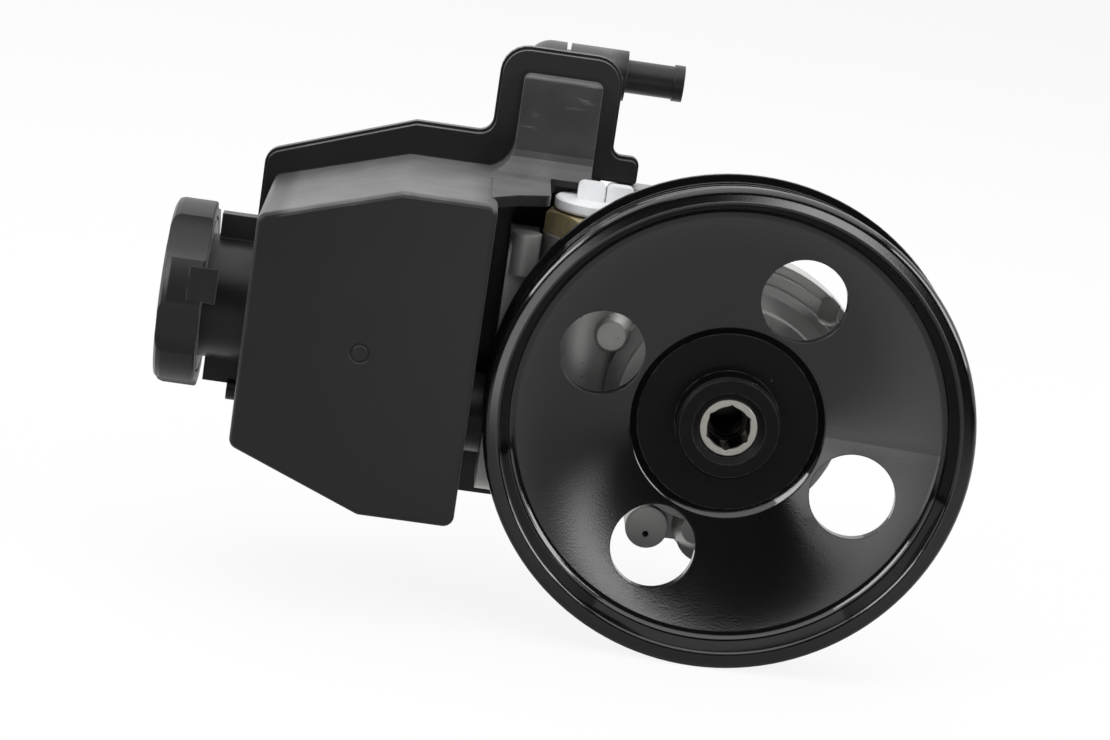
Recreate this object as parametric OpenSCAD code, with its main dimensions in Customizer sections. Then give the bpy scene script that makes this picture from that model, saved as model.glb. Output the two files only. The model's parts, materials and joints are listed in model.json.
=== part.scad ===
// Belt-driven vane pump for power steering, with its plastic fluid tank.
// The shaft lies along Y and the pulley faces -Y. The filler cap points to -X, the pressure port to +Z.
// The origin is on the shaft axis, at the face of the lugs that bolts to the engine.

/* [Pulley] */
// Diameter over the pulley's side flanges
pulley_d = 138; // [130:0.5:146]
// Distance from the pulley's front lip back to the mounting face
lip_to_face = 46; // [45.5:0.1:50]
// Number of belt grooves
rib_count = 6; // [4:1:6]
// Distance from groove to groove
rib_pitch = 3.56; // [3.3:0.01:3.6]
// Depth of a belt groove
rib_depth = 2.8; // [2:0.1:3.2]
// Width of each side flange of the rim
flange_w = 2.2; // [1.6:0.1:2.4]
// Height of the side flanges over the ribs
flange_h = 1.6; // [1:0.1:2.2]
// Wall under the belt grooves
rim_wall = 3.2; // [2.4:0.1:4]
// Thickness of the pulley's web
web_t = 3.2; // [2.4:0.1:3.6]
// Depth of the bowl at the rim
bowl_rim_depth = 6.4; // [5:0.1:8]
// Depth of the bowl at the hub
bowl_hub_depth = 11.2; // [10:0.1:11.6]
// Diameter of an access hole in the web
access_d = 24.2; // [20:0.2:26]
// Diameter of the circle of access holes
access_pcd = 82.2; // [80:0.2:86]
// Angle of the first access hole
access_angle = 67.6; // [0:0.1:90]
// Diameter of the hub's disc
hub_disc_d = 51; // [46:0.5:53]
// Diameter of the hub's boss
hub_boss_d = 29.6; // [26:0.2:34]
// Distance of the boss's end behind the front lip
hub_setback = 4.1; // [2:0.1:6]

/* [Shaft and bearing] */
// Diameter of the drive shaft
shaft_d = 17; // [16:0.1:17.6]
// Distance of the shaft's end behind the boss's end
shaft_setback = 1.8; // [1:0.1:3]
// Width across the flats of the socket in the shaft's end
socket_af = 11.6; // [11:0.1:13]
// Depth of the socket
socket_depth = 10; // [6:0.5:14]
// Diameter of the puller thread behind the socket
thread_d = 10.2; // [8:0.1:10.6]
// Length of the puller thread
thread_len = 16; // [8:0.5:24]
// Outer diameter of the ball bearing
bearing_d = 40; // [38:0.5:42]
// Width of the ball bearing
bearing_w = 12; // [11:0.1:12.6]
// Diameter of a bearing ball
ball_d = 6.75; // [6:0.05:7.2]
// Number of bearing balls
ball_count = 8; // [6:1:9]
// Distance of the bearing behind the front lip
bearing_setback = 21.7; // [20.5:0.1:22.5]

/* [Housing] */
// Diameter of the round body
body_d = 67; // [66:0.2:68]
// Length of the body behind the mounting face
body_len = 61; // [60.6:0.1:64]
// Diameter of the mounting bolt circle
bolt_pcd = 78; // [77:0.2:80]
// Core diameter of a tapped mounting hole
bolt_hole_d = 8.4; // [7:0.1:9]
// Depth of a tapped mounting hole
bolt_hole_depth = 9.5; // [6:0.5:10.5]
// Angle of the first mounting bolt
bolt_angle = 32; // [26:0.5:38]
// Thickness of a mounting lug
lug_t = 11; // [8:0.5:12]
// Diameter of a mounting lug
lug_d = 18; // [16:0.5:20]
// Width of the tank pad along the shaft
pad_w = 26; // [22:0.5:27]
// Thickness of the tank pad
pad_t = 8.5; // [7:0.1:10]
// Height of the tank pad's top edge
pad_top = 41; // [38:0.5:43]
// Height of the tank pad's bottom edge
pad_bottom = -34; // [-36:0.5:-32]

/* [Cartridge] */
// Diameter of the pump chamber
chamber_d = 57.7; // [56.4:0.1:58.5]
// Distance of the chamber's floor behind the mounting face
chamber_floor = 14; // [12.5:0.1:15]
// Thickness of the front plate
front_plate_t = 8; // [6:0.1:8.4]
// Width of the cam ring
cam_w = 18; // [16:0.1:18.4]
// Thickness of the rear plate
rear_plate_t = 7; // [6:0.1:7.4]
// Thickness of the rear cover
cover_t = 7.6; // [6.6:0.1:8]
// Diameter of the rotor
rotor_d = 43; // [41:0.1:44]
// Rise of the cam's two lobes
cam_lift = 3.3; // [2:0.1:3.8]
// Number of vanes
vane_count = 10; // [8:1:12]
// Thickness of a vane
vane_t = 1.8; // [1.4:0.05:2.2]
// Diameter of a dowel pin
dowel_d = 3.5; // [2.5:0.1:4]

/* [Valve and port] */
// Distance of the valve's axis left of the shaft axis
valve_x = 44.5; // [43.8:0.1:45.5]
// Distance of the valve's axis in front of the mounting face
valve_setback = 4.5; // [3:0.1:5]
// Diameter of the valve boss
valve_boss_d = 28; // [27:0.2:28.6]
// Height of the closed end of the valve's bore
valve_top = 6; // [3:0.5:8]
// Diameter of the valve spool
spool_d = 16; // [14:0.1:17]
// Length of the valve spool
spool_len = 16; // [14:0.5:18]
// Travel of the valve spool
spool_travel = 5; // [3:0.5:6]
// Height of the valve boss's top face
port_z = 42; // [41:0.1:42.5]
// Width across the flats of the port's hexagon
hex_af = 24.5; // [23:0.1:25]
// Height of the port's hexagon
hex_h = 6.6; // [5:0.1:6.8]
// Diameter of the threaded shank of the union
shank_d = 20; // [19:0.1:21]
// Length of the threaded shank
shank_len = 12; // [11:0.5:13]
// Diameter of the transport plug's flange
plug_d = 23.5; // [22:0.1:24]

/* [Tank] */
// Left wall of the tank
tank_left = -137.5; // [-150:0.5:-134]
// Right wall of the tank
tank_right = -72.8; // [-73.8:0.1:-72.4]
// Top of the tank's front box
tank_top = 55.5; // [54.5:0.1:56.5]
// Bottom of the tank's front box
tank_bottom = -36.7; // [-40:0.1:-36]
// Rise of the sloped top edge
top_slope = 11.8; // [8:0.1:16]
// Rise of the sloped bottom edge
bottom_slope = 14.8; // [10:0.1:18]
// Width of the sloped edges
slope_w = 37.8; // [30:0.1:44]
// Depth of the front shell, from its face to the weld seam
front_depth = 68.4; // [62:0.1:74]
// Depth of the rear shell behind the weld seam
rear_depth = 24; // [20:0.5:30]
// Distance of the weld seam behind the mounting face
seam_y = 16.4; // [15.5:0.1:17]
// Wall of the tank
tank_wall = 2.8; // [2:0.1:3.2]
// Thickness of each weld flange
seam_flange_t = 3.1; // [2.4:0.1:3.4]
// Rounding of the tank's outer edges
tank_edge_r = 1.6; // [1:0.1:2]
// Height of the tower's top edge
tower_top = 91.1; // [88:0.1:96]
// Left edge of the tower
tower_left = -76.6; // [-78:0.1:-75]
// Right edge of the tower
tower_right = -40.8; // [-41.5:0.1:-39]
// Outer diameter of the return nipple
nipple_d = 9.7; // [8:0.1:10.5]
// Length of the return nipple
nipple_len = 17; // [14:0.5:20]
// Diameter of the return pipe's stub
stub_d = 14.8; // [13:0.1:15]

/* [Filler neck and cap] */
// Outer diameter of the neck's tube
neck_d = 35; // [33:0.2:42]
// Height over the ribs above and below the neck
neck_rib_h = 48.4; // [44:0.2:50]
// Length of the neck's ribs
neck_len = 11.2; // [8:0.1:11.4]
// Height of the neck's axis
neck_z = 12.8; // [10:0.1:15]
// Distance of the neck's axis in front of the mounting face
neck_setback = 19.4; // [17:0.1:22]
// Diameter of the neck's threaded end
neck_end_d = 44; // [42:0.1:44.4]
// Bore of the neck
neck_bore_d = 29; // [26:0.2:30]
// Diameter of the cap
cap_d = 53.6; // [52:0.2:56]
// Height of the cap
cap_h = 11.6; // [10.5:0.1:13]
// Thickness of the cap's top
cap_top_t = 3.3; // [2.5:0.1:4]
// Number of grip hollows round the cap
flute_count = 6; // [5:1:8]
// Depth of a grip hollow
flute_depth = 2.8; // [1:0.1:3]
// Diameter of the level stick
stick_d = 5; // [4:0.1:7]
// Length of the level stick
stick_len = 52; // [40:1:56]

/* [Hidden] */
$fn = 64;

// Clearances
run_gap = 0.05;
free_gap = 0.3;
air_gap = 1.6;
eps = 0.01;
far = 200;

// O-rings and their grooves
o_ring_r = 1.2;
groove_w = 2.8;
groove_depth = 2 * o_ring_r + run_gap;
cover_groove_drop = 2;
valve_groove_drop = 4;
shank_groove_drop = 3.4;

// Pulley places, radii first and then distances along the shaft
lip_y = -lip_to_face;
rim_w = rib_count * rib_pitch + 2 * flange_w;
rim_back_y = lip_y + rim_w;
rim_r = pulley_d / 2;
tip_r = rim_r - flange_h;
root_r = tip_r - rib_depth;
drum_r = root_r - rim_wall;
cone_w = 2.9;
disc_r = hub_disc_d / 2;
web_rim_y = lip_y + bowl_rim_depth;
web_hub_y = lip_y + bowl_hub_depth;
web_back_y = web_hub_y + web_t;
hub_front_y = lip_y + hub_setback;
hub_disc_y = web_hub_y + 1.6;
hub_shoulder_t = 2.2;

// Shaft and bearing places
shaft_r = shaft_d / 2;
shaft_front_y = hub_front_y + shaft_setback;
bearing_y = lip_y + bearing_setback;
bearing_back_y = bearing_y + bearing_w;
ball_pitch_r = (shaft_r + bearing_d / 2) / 2;
ball_mid_y = bearing_y + bearing_w / 2;
race_lip = 1.28 * ball_d / 3.375;
ring_w = 1.4;
ring_depth = 1.2;
nose_y = bearing_y - ring_w - 1.4;
seal_y = bearing_back_y + 1.4;
seal_w = 7;
seal_r = 15;
bush_y = seal_y + seal_w + 1;
bush_r = shaft_r + 2.5;
spline_r = shaft_r - 0.9;
spline_tooth_w = 1.6;

// Cast boss beside the lowest lug
cast_boss = polar(42.1, 247);
cast_boss_r = 6.2;

// Tapered bosses with machined ends on the lugs: [radius, angle, y of the end]
lug_bosses = [[39.1, 154.2, -lug_t - 8.5], [37.1, 266.6, -lug_t - 5], [39, 32, -lug_t - 5]];
lug_boss_end_r = 4.2;
lug_boss_root_r = 7.6;

// Cartridge places
front_plate_y = chamber_floor;
cam_y = front_plate_y + front_plate_t;
rear_plate_y = cam_y + cam_w;
rear_plate_end_y = rear_plate_y + rear_plate_t;
spring_gap = 2.2;
cover_y = rear_plate_end_y + spring_gap;
cover_end_y = cover_y + cover_t;
wire_r = 1.05;
washer_in_r = 12;
washer_out_r = 20;
washer_t = 1;
dish_r = 20;
dish_hub_r = 8;
dish_depth = 2;
wire_y = cover_end_y + wire_r;
chamber_r = chamber_d / 2;
plate_r = chamber_r - run_gap;
rotor_r = rotor_d / 2;
cam_min_r = rotor_r + 0.4;
vane_root_r = 12.5;
dowel_r = dowel_d / 2;
dowel_seat = 3;
dowel_pitch_r = (cam_min_r + plate_r) / 2;
shaft_end_y = rear_plate_y + 4;
snap_y = rear_plate_y + 0.4;
snap_t = 1.2;
snap_r = shaft_r + 1;
groove_r = spline_r - 1;

// Valve and port places
valve_y = -valve_setback;
valve_boss_r = valve_boss_d / 2;
spool_r = spool_d / 2;
bore_r = spool_r + run_gap;
spool_top_z = valve_top - free_gap;
spool_bottom_z = spool_top_z - spool_len;
spring_wire_r = 0.9;
spring_r = spool_r - 2.6;
spring_turns = 6;
spring_seat = 6;
spring_room = spool_travel + 8;
valve_plug_top_z = spool_bottom_z - spring_room;
valve_plug_len = 9;
valve_bottom_z = valve_plug_top_z - valve_plug_len;
valve_plug_r = spool_r + 1.5;
hex_top_z = port_z + hex_h;
plug_flange_t = 3.6;
plug_top_z = hex_top_z + 0.6 + plug_flange_t;
plug_stem_r = 7;
plug_stem_len = 9;
ear_w = 7.8;
ear_h = 5;
ear_t = 5.2;
ear_x = 2.4;
gallery_r = 2.5;
gallery_x = 3.5;
port_bore_r = 7.3;
port_bore_len = 12;
orifice_r = 3;

// Tank places
tank_front_y = seam_y - front_depth;
flange_y = seam_y - seam_flange_t;
rear_flange_y = seam_y + seam_flange_t;
tank_back_y = seam_y + rear_depth;
slope_x = tank_left + slope_w;
seam_step = 0.8;
border_side = 3.4;
border_top = 9.5;
border_bottom = 6.7;
flange_left = tank_left - border_side;
flange_top = tank_top + border_top;
flange_bottom = tank_bottom - border_bottom;
flange_right = -46;
foot_right = tower_right + 8.1;
foot_top = flange_top - 1.8;
foot_bottom = tank_top - 0.3;
shelf_t = 3.2;
recess_x = -valve_x - plug_d / 2 - air_gap - 0.25;
panel_inset = 7.1;
panel_left = tower_left + panel_inset;
panel_right = tower_right - panel_inset + 1.4;
panel_top = tower_top - panel_inset;
panel_rise_top = 4;
panel_rise_foot = 10;
cove_r = 9;
stub_z = tower_top - 5.7;
stub_y = rear_flange_y + 5.8;
stub_end_x = tower_right + 0.9;
stub_start_x = tower_left + 14.4;
slot_x = stub_start_x + 4;
slot_w = 1.4;
nipple_end_x = stub_end_x + nipple_len;
nipple_r = nipple_d / 2;
nipple_bore_r = nipple_r - 1.6;
bead_r = nipple_r + 0.5;
bead_w = 3;

// Outlet spigot and tank pad places
pad_left = tank_right + 5.2;
pad_right = pad_left + pad_t;
pad_front_y = valve_y - pad_w / 2;
pad_back_y = valve_y + pad_w / 2;
spigot_r = 9;
spigot_z = -14;
spigot_reach = pad_t - 1;
spigot_groove_drop = 2.2;
screw_r = 2.5;
screw_head_r = 4.6;
screw_head_h = 4;
screw_zs = [20, -11];
screw_x = flange_right - 7.5;
screw_len = 10;
screw_boss_r = 6.2;
post_r = 4.2;

// Filler neck and cap places
neck_y = -neck_setback;
collar_x = tank_left - neck_len;
neck_rib_t = 5;
cap_rim_x = collar_x - 1.7;
cap_face_x = cap_rim_x - cap_h;
cap_under_x = cap_face_x + cap_top_t;
seal_t = 1.5;
stick_flat = 20;
stick_marks = [16, 6];
neck_end_x = cap_under_x + seal_t;
neck_end_r = neck_end_d / 2;
cap_bore_r = neck_end_r + 0.5;
cap_r = cap_d / 2;

// Shapes that repeat

function unit(v) = v / norm(v);
function left_of(v) = [-v.y, v.x];
function flat(p) = [p.x, p.y];

// Arc points that round the corner b = [x, y, radius] between its neighbours a and c
function corner_arc(a, b, c, n) =
    let (u = unit(flat(a) - flat(b)), v = unit(flat(c) - flat(b)), half = acos(u * v) / 2)
    let (centre = flat(b) + unit(u + v) * b.z / sin(half), run = b.z / tan(half))
    let (s = flat(b) + u * run - centre, e = flat(b) + v * run - centre, turn = 180 - 2 * half)
    [for (k = [0:n]) centre + (s * sin((1 - k / n) * turn) + e * sin(k / n * turn)) / sin(turn)];

// Outline of a polygon whose corners are [x, y, radius], with n steps in each arc
function rounded(c, n = 6) =
    let (m = len(c))
    [for (i = [0:m - 1])
        each c[i].z > 0 ? corner_arc(c[(i + m - 1) % m], c[i], c[(i + 1) % m], n) : [flat(c[i])]];

// The same corners moved inwards by d, for outlines that run anticlockwise
function inset(c, d) =
    let (m = len(c))
    [for (i = [0:m - 1])
        let (b = c[i], before = unit(flat(b) - flat(c[(i + m - 1) % m])))
        let (after = unit(flat(c[(i + 1) % m]) - flat(b)), n1 = left_of(before), n2 = left_of(after))
        let (p = flat(b) + (n1 + n2) * d / (1 + n1 * n2), outer = cross(before, after) > 0)
        [p.x, p.y, max(0.2, outer ? b.z - d : b.z + d)]];

function polar(r, a) = [r * cos(a), r * sin(a)];

// Solids turned about the shaft axis: sketch points are [radius, y]
module turned() { rotate([-90, 0, 0]) rotate_extrude() children(); }

// Sketch in X and Z, extruded along Y
module prism_y(y0, y1) { translate([0, y1, 0]) rotate([90, 0, 0]) linear_extrude(y1 - y0) children(); }

// Sketch in Y and Z, extruded along X
module prism_x(x0, x1) { translate([x0, 0, 0]) rotate([90, 0, 90]) linear_extrude(x1 - x0) children(); }

module rod_x(r, x0, x1, y, z) { translate([x0, y, z]) rotate([0, 90, 0]) cylinder(r = r, h = x1 - x0); }
module rod_y(r, y0, y1, x = 0, z = 0) {
    translate([x, y0, z]) rotate([-90, 0, 0]) cylinder(r = r, h = y1 - y0);
}
module rod_z(r, z0, z1, x, y) { translate([x, y, z0]) cylinder(r = r, h = z1 - z0); }
module block(low, high) { translate(low) cube(high - low); }

// Ring of round section about the shaft axis
module wire_ring(r, section_r, y) {
    turned() translate([r, y]) circle(r = section_r, $fn = 24);
}

// Box with rounded outline, lofted from y0 to y1, whose edges at the far end y1 are rounded too
module soft_box(corners, y0, y1, edge_r) {
    away = sign(y1 - y0);
    levels = concat([[y0, 0]],
        [for (a = [0:30:90]) [y1 - away * edge_r * (1 - sin(a)), edge_r * (1 - cos(a))]]);
    rings = [for (level = levels) [for (p = rounded(inset(corners, level[1]))) [p.x, level[0], p.y]]];
    loft(away > 0 ? rings : [for (i = [len(rings) - 1:-1:0]) rings[i]]);
}

// Closed solid through rings of points that run anticlockwise and follow each other along +Y
module loft(rings) {
    n = len(rings[0]);
    last = (len(rings) - 1) * n;
    walls = [for (i = [0:len(rings) - 2], k = [0:n - 1])
        [i * n + k, i * n + (k + 1) % n, (i + 1) * n + (k + 1) % n, (i + 1) * n + k]];
    ends = [[for (k = [n - 1:-1:0]) k], [for (k = [0:n - 1]) last + k]];
    polyhedron([for (ring = rings) each ring], concat(walls, ends));
}

// Pulley, hub and shaft

module pulley() {
    first_rib_y = lip_y + flange_w + rib_pitch / 2;
    ribs = [for (i = [0:rib_count - 1], p = [[0, -0.36], [1, -0.1], [1, 0.1], [0, 0.36]])
        [tip_r - p.x * rib_depth, first_rib_y + (i + p.y) * rib_pitch, 0]];
    profile = concat(
        [[disc_r, web_back_y, 0], [disc_r, hub_disc_y, 0], [disc_r + 2.2, web_hub_y, 1]],
        [[drum_r, web_rim_y, 3], [drum_r + cone_w, lip_y, 1.4], [rim_r, lip_y, 1.8]],
        [[rim_r, lip_y + flange_w, 0]], ribs, [[rim_r, rim_back_y - flange_w, 0]],
        [[rim_r, rim_back_y, 1], [drum_r, rim_back_y, 0.8]],
        [[drum_r, web_rim_y + web_t, 3], [disc_r + 5, web_back_y, 0]]);
    color([0.06, 0.06, 0.065]) difference() {
        turned() polygon(rounded(profile, 5));
        for (i = [0:3])
            rotate([0, -access_angle - 90 * i, 0])
                rod_y(access_d / 2, lip_y, rim_back_y, access_pcd / 2);
    }
}

module pulley_hub() {
    boss_r = hub_boss_d / 2;
    neck_r = shaft_r + 2.6;
    shoulder_y = web_back_y + hub_shoulder_t;
    profile = [[shaft_r, shaft_front_y], [shaft_r + 1.8, hub_front_y], [boss_r - 0.8, hub_front_y],
        [boss_r, hub_front_y + 0.8], [boss_r, hub_disc_y], [disc_r, hub_disc_y], [disc_r, web_back_y],
        [disc_r + 2.5, web_back_y], [disc_r + 2.5, shoulder_y], [neck_r, shoulder_y],
        [neck_r, bearing_y], [shaft_r, bearing_y]];
    color([0.05, 0.05, 0.055]) turned() polygon(profile);
}

module drive_shaft() {
    tooth_start_y = cam_y - 2;
    profile = [[0, shaft_front_y], [shaft_r - 0.5, shaft_front_y], [shaft_r, shaft_front_y + 0.5],
        [shaft_r, tooth_start_y], [spline_r, tooth_start_y + 0.8], [spline_r, snap_y], [groove_r, snap_y],
        [groove_r, snap_y + snap_t], [spline_r, snap_y + snap_t], [spline_r, shaft_end_y],
        [0, shaft_end_y]];
    thread_y = shaft_front_y + socket_depth;
    color([0.6, 0.59, 0.56]) difference() {
        union() {
            turned() polygon(profile);
            spline_teeth(spline_tooth_w, shaft_r - 0.1, cam_y + run_gap, snap_y - free_gap);
        }
        translate([0, shaft_front_y - eps, 0]) rotate([-90, 30, 0])
            cylinder(r = socket_af / 2 / cos(30), h = socket_depth + eps, $fn = 6);
        rod_y(thread_d / 2, thread_y - eps, thread_y + thread_len);
    }
}

module spline_teeth(w, r, y0, y1) {
    for (i = [0:11])
        rotate([0, 30 * i, 0]) block([spline_r - 1, y0, -w / 2], [r, y1, w / 2]);
}

// Housing

function bolt_place(i) = polar(bolt_pcd / 2, bolt_angle + 120 * i);

module pump_housing() {
    color([0.62, 0.62, 0.6]) difference() {
        union() {
            housing_body();
            housing_lugs();
            valve_side();
        }
        housing_bores();
        valve_bores();
        tank_pad_bores();
    }
}

// Round body with its stepped nose, and the shoulder that carries the rings at the upper right
module housing_body() {
    nose_r = bearing_d / 2 + 4;
    step_y = nose_y + 5.5;
    step_r = nose_r + 7;
    ledge_y = -lug_t - 6;
    ledge_r = body_d / 2 + 1.5;
    turned() polygon([[0, nose_y], [nose_r - 1, nose_y], [nose_r, nose_y + 1], [nose_r, step_y],
        [step_r, step_y], [step_r, ledge_y], [ledge_r, ledge_y + 1.5], [ledge_r, 0], [body_d / 2, 0],
        [body_d / 2, body_len - 1.2], [body_d / 2 - 1.2, body_len], [0, body_len]]);
    // Steps of the shoulder: how far each stands out past the body and past the lugs
    for (s = [[4, 4.5], [7.5, 2.2], [10.5, 0]])
        prism_y(-lug_t - s.y, 0) intersection() {
            circle(r = body_d / 2 + s.x);
            polygon([[0, 0], polar(2 * body_d, 24), polar(2 * body_d, 66), polar(2 * body_d, 108)]);
        }
    saddle();
}

// Arm at the top that carries the foot of the tank's flange
module saddle() {
    top_z = foot_bottom - 0.2;
    outline = [[-26, 12, 0], [-13, 24, 0], [-13, top_z, 4], [foot_right - 9, top_z, 4], [-38, 22, 0]];
    prism_y(seam_y - 5.5, seam_y + 5.5) polygon(rounded(outline));
}

module housing_lugs() {
    for (i = [0:2]) {
        p = bolt_place(i);
        rod_y(lug_d / 2, -lug_t, 0, p.x, p.y);
        rotate([0, -bolt_angle - 120 * i, 0])
            block([20, -lug_t + 1, -lug_d / 2 + 1.5], [bolt_pcd / 2, 0, lug_d / 2 - 1.5]);
    }
    for (b = lug_bosses) {
        p = polar(b[0], b[1]);
        translate([p.x, b[2], p.y]) rotate([-90, 0, 0])
            cylinder(r1 = lug_boss_end_r, r2 = lug_boss_root_r, h = 1 - lug_t - b[2]);
    }
    // Cast boss beside the lowest lug
    rod_y(cast_boss_r, -lug_t - 3, 0, cast_boss.x, cast_boss.y);
    block([cast_boss.x, -lug_t, cast_boss.y - 3.2], [0, -1, -20]);
}

// Valve boss along Z, the tank pad left of it and the webs between them
module valve_side() {
    rod_z(valve_boss_r, valve_bottom_z, port_z, -valve_x, valve_y);
    web_half = valve_boss_r - 4;
    block([-valve_x, valve_y - web_half, valve_bottom_z + 8], [-18, valve_y + web_half, valve_top + 2]);
    pad = [[pad_front_y, pad_bottom, 4], [pad_back_y, pad_bottom, 4], [pad_back_y, pad_top, 4],
        [pad_front_y, pad_top, 4]];
    prism_x(pad_left, pad_right) polygon(rounded(pad));
    for (z = [pad_bottom + 14, 0, pad_top - 20])
        block([pad_right - 1, valve_y - 7, z - 4], [-valve_x, valve_y + 7, z + 4]);
    // Bosses for the tank's screws
    for (z = screw_zs)
        rod_y(screw_boss_r, 0, flange_y, screw_x, z);
    // Small upright post at the front of the pad, just clear of the pulley
    rod_z(post_r, pad_top - 10.5, pad_top + 1.6, pad_left + 4.6, rim_back_y + free_gap + post_r);
}

module housing_bores() {
    rod_y(bearing_d / 2, nose_y - 1, bearing_back_y);
    rod_y(bearing_d / 2 + ring_depth, bearing_y - ring_w - run_gap, bearing_y);
    rod_y(seal_r - 3, bearing_back_y - eps, seal_y + eps);
    rod_y(seal_r, seal_y, seal_y + seal_w);
    rod_y(shaft_r + 1, seal_y, chamber_floor + eps);
    rod_y(bush_r, bush_y, chamber_floor + eps);
    rod_y(chamber_r, chamber_floor, body_len + 1);
    wire_ring(chamber_r + 0.1, wire_r + run_gap, wire_y);
    for (i = [0:2]) {
        p = bolt_place(i);
        rod_y(bolt_hole_d / 2, -bolt_hole_depth, 1, p.x, p.y);
    }
    for (side = [0, 180])
        rotate([0, side, 0])
            rod_y(dowel_r + run_gap, chamber_floor - dowel_seat, chamber_floor + eps, dowel_pitch_r);
    rod_y(0.9, -lug_t - 4, -lug_t + 5, cast_boss.x, cast_boss.y - 2);
    // Cast pocket in the stepped shoulder
    prism_y(-lug_t - 5, -lug_t + 4) polygon(rounded([[22, 29, 2], [28, 27, 2], [30, 34, 2], [24, 36, 2]]));
}

module valve_bores() {
    rod_z(bore_r, valve_plug_top_z - eps, valve_top, -valve_x, valve_y);
    rod_z(shank_d / 2, port_z - shank_len, port_z + 1, -valve_x, valve_y);
    rod_z(gallery_r, valve_top - 1, port_z - shank_len + eps, -valve_x - gallery_x, valve_y);
    rod_z(valve_plug_r, valve_bottom_z - 1, valve_plug_top_z, -valve_x, valve_y);
}

module tank_pad_bores() {
    rod_x(spigot_r + run_gap, pad_left - 1, pad_left + spigot_reach + 2, valve_y, spigot_z);
    for (z = screw_zs)
        rod_y(screw_r, flange_y - screw_len, flange_y + 1, screw_x, z);
}

// Ball bearing

module race(r0, r1) {
    turned() difference() {
        translate([r0, bearing_y]) square([r1 - r0, bearing_w]);
        translate([ball_pitch_r, ball_mid_y]) circle(r = ball_d / 2 + run_gap);
    }
}

module bearing_outer_race() { color([0.72, 0.72, 0.73]) race(ball_pitch_r + race_lip, bearing_d / 2); }
module bearing_inner_race() { color([0.72, 0.72, 0.73]) race(shaft_r, ball_pitch_r - race_lip); }

module ball_ring(r) {
    for (i = [0:ball_count - 1]) {
        p = polar(ball_pitch_r, 360 / ball_count * i);
        translate([p.x, ball_mid_y, p.y]) sphere(r = r);
    }
}

module bearing_balls() { color([0.8, 0.8, 0.82]) ball_ring(ball_d / 2); }

module bearing_cage() {
    cage_w = 9;
    cage_t = 1.8;
    color([0.7, 0.6, 0.4]) difference() {
        turned() translate([ball_pitch_r - cage_t / 2, ball_mid_y - cage_w / 2]) square([cage_t, cage_w]);
        for (i = [0:ball_count - 1])
            rotate([0, -360 / ball_count * i, 0])
                rod_x(ball_d / 2 + run_gap, ball_pitch_r - cage_t, ball_pitch_r + cage_t, ball_mid_y, 0);
    }
}

// Flat ring with a gap at its lower side
module split_ring(r0, r1, y0, y1) {
    difference() {
        turned() translate([r0, y0]) square([r1 - r0, y1 - y0]);
        block([-2, y0 - 1, -far], [2, y1 + 1, 0]);
    }
}

module bearing_snap_ring() {
    r = bearing_d / 2;
    color([0.3, 0.3, 0.32]) split_ring(r - 2, r + ring_depth - run_gap, bearing_y - ring_w, bearing_y);
}

module shaft_seal() {
    lip_r = shaft_r + run_gap;
    profile = [[lip_r, seal_y + 2], [lip_r + 0.8, seal_y + 2], [lip_r + 1.6, seal_y], [seal_r, seal_y],
        [seal_r, seal_y + seal_w], [seal_r - 1.5, seal_y + seal_w], [seal_r - 1.5, seal_y + 2],
        [lip_r + 2.4, seal_y + 2], [lip_r + 1.4, seal_y + 5], [lip_r, seal_y + 4]];
    color([0.1, 0.08, 0.07]) turned() polygon(profile);
}

module shaft_bush() {
    inner_r = shaft_r + run_gap;
    color([0.6, 0.45, 0.25]) turned() translate([inner_r, bush_y])
        square([bush_r - inner_r, chamber_floor - bush_y]);
}

// Vane cartridge

module dowel_holes(y0, y1) {
    for (side = [0, 180])
        rotate([0, side, 0]) rod_y(dowel_r + run_gap, y0 - 1, y1 + 1, dowel_pitch_r);
}

// Four flow ports through a plate, between the dowels
module port_holes(y0, y1) {
    for (a = [45:90:315])
        rotate([0, a, 0]) rod_y(3, y0 - 1, y1 + 1, rotor_r + 1.2);
}

module front_plate() {
    y1 = front_plate_y + front_plate_t;
    color([0.55, 0.53, 0.5]) difference() {
        rod_y(plate_r, front_plate_y, y1);
        rod_y(shaft_r + free_gap, front_plate_y - 1, y1 + 1);
        dowel_holes(front_plate_y, y1);
        port_holes(front_plate_y, y1);
    }
}

// Cam track of two lobes that rise smoothly from the smallest radius
function cam_track() = [for (a = [0:4:356]) polar(cam_min_r + cam_lift * (1 - cos(2 * a)) / 2, a)];

module cam_ring() {
    color([0.5, 0.5, 0.52]) difference() {
        rod_y(plate_r, cam_y, cam_y + cam_w);
        prism_y(cam_y - 1, cam_y + cam_w + 1) polygon(cam_track());
        dowel_holes(cam_y, cam_y + cam_w);
    }
}

module vane_row(r0, r1, t, y0, y1) {
    for (i = [0:vane_count - 1])
        rotate([0, 360 / vane_count * (i + 0.5), 0]) block([r0, y0, -t / 2], [r1, y1, t / 2]);
}

module rotor() {
    y0 = cam_y + run_gap;
    y1 = cam_y + cam_w - run_gap;
    color([0.55, 0.55, 0.57]) difference() {
        rod_y(rotor_r, y0, y1);
        rod_y(spline_r + run_gap, y0 - 1, y1 + 1);
        spline_teeth(spline_tooth_w + 2 * run_gap, shaft_r, y0 - 1, y1 + 1);
        vane_row(vane_root_r, rotor_r + 1, vane_t + 2 * run_gap, y0 - 1, y1 + 1);
    }
}

module vanes() {
    y0 = cam_y + run_gap;
    y1 = cam_y + cam_w - run_gap;
    color([0.45, 0.45, 0.47]) vane_row(vane_root_r + run_gap, rotor_r + 0.1, vane_t, y0, y1);
}

module rotor_snap_ring() {
    color([0.3, 0.3, 0.32]) split_ring(groove_r, snap_r, snap_y, snap_y + snap_t);
}

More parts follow.
